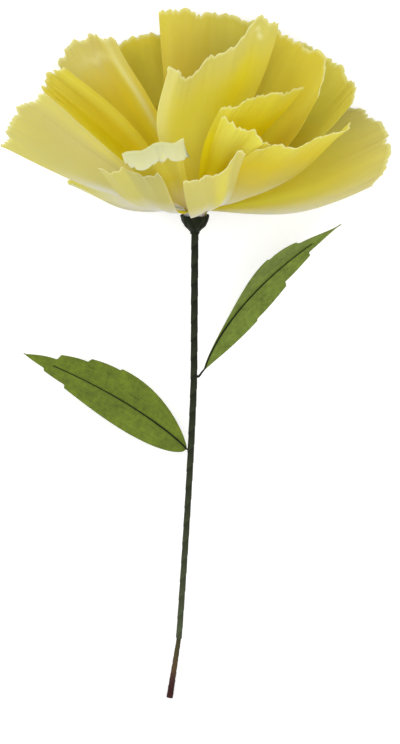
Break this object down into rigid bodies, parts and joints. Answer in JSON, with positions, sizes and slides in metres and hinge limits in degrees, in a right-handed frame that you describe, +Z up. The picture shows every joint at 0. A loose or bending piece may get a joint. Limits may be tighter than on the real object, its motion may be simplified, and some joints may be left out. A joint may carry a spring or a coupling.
{
  "type": "paper flower",
  "caption": "Large yellow paper flower with ruffled, tooth-edged petals on a thin taped twig stem with two leaves, lying on its back.",
  "frame": {"origin": "middle of the footprint of the lying flower, on the surface it rests on", "axes": "+Z up, +Y along the flower from the stem's cut end towards the bloom, +X to the right seen from above"},
  "size_m": [0.2756, 0.4858, 0.1485],
  "materials": {
    "petal_floor_left": "matt yellow crepe paper, paler and beige towards its base outside",
    "petal_floor_back": "matt yellow crepe paper, paler and beige towards its base outside",
    "petal_floor_right": "matt yellow crepe paper, paler and beige towards its base outside",
    "petal_back_left": "matt yellow crepe paper, paler and beige towards its base outside",
    "petal_back_middle": "matt yellow crepe paper, paler and beige towards its base outside",
    "petal_back_right": "matt yellow crepe paper, paler and beige towards its base outside",
    "petal_side_left": "matt yellow crepe paper, paler and beige towards its base outside",
    "petal_inner_left": "matt yellow crepe paper, paler and beige towards its base outside",
    "petal_inner_back": "matt yellow crepe paper, paler and beige towards its base outside",
    "petal_upright_back": "matt yellow crepe paper, paler and beige towards its base outside",
    "petal_upright_right": "matt yellow crepe paper, paler and beige towards its base outside",
    "petal_heart": "matt yellow crepe paper, paler and beige towards its base outside",
    "petal_front_right": "matt yellow crepe paper, paler and beige towards its base outside",
    "petal_front_flap": "matt yellow crepe paper, paler and beige towards its base outside",
    "petal_front_left": "matt yellow crepe paper, paler and beige towards its base outside",
    "petal_front_tongue": "matt yellow crepe paper, paler and beige towards its base outside",
    "stem_twig": "bare twig, olive turning dark red-brown at the cut end",
    "stem_wrap": "dark green paper tape wound round the twig",
    "calyx": "dark green wrapped paper cup",
    "leaf_left": "mottled olive green paper, matt",
    "leaf_left_rib": "thin taped wire, dark green",
    "leaf_right": "mottled olive green paper, matt",
    "leaf_right_rib": "thin taped wire, dark green"
  },
  "bodies": {
    "root": {"petal_floor_left": "petal_floor_left", "petal_floor_back": "petal_floor_back", "petal_floor_right": "petal_floor_right", "petal_back_left": "petal_back_left", "petal_back_middle": "petal_back_middle", "petal_back_right": "petal_back_right", "petal_side_left": "petal_side_left", "petal_inner_left": "petal_inner_left", "petal_inner_back": "petal_inner_back", "petal_upright_back": "petal_upright_back", "petal_upright_right": "petal_upright_right", "petal_heart": "petal_heart", "petal_front_right": "petal_front_right", "petal_front_flap": "petal_front_flap", "petal_front_left": "petal_front_left", "petal_front_tongue": "petal_front_tongue", "stem_twig": "stem_twig", "stem_wrap": "stem_wrap", "calyx": "calyx", "leaf_left": "leaf_left", "leaf_left_rib": "leaf_left_rib", "leaf_right": "leaf_right", "leaf_right_rib": "leaf_right_rib"}
  },
  "joints": []
}
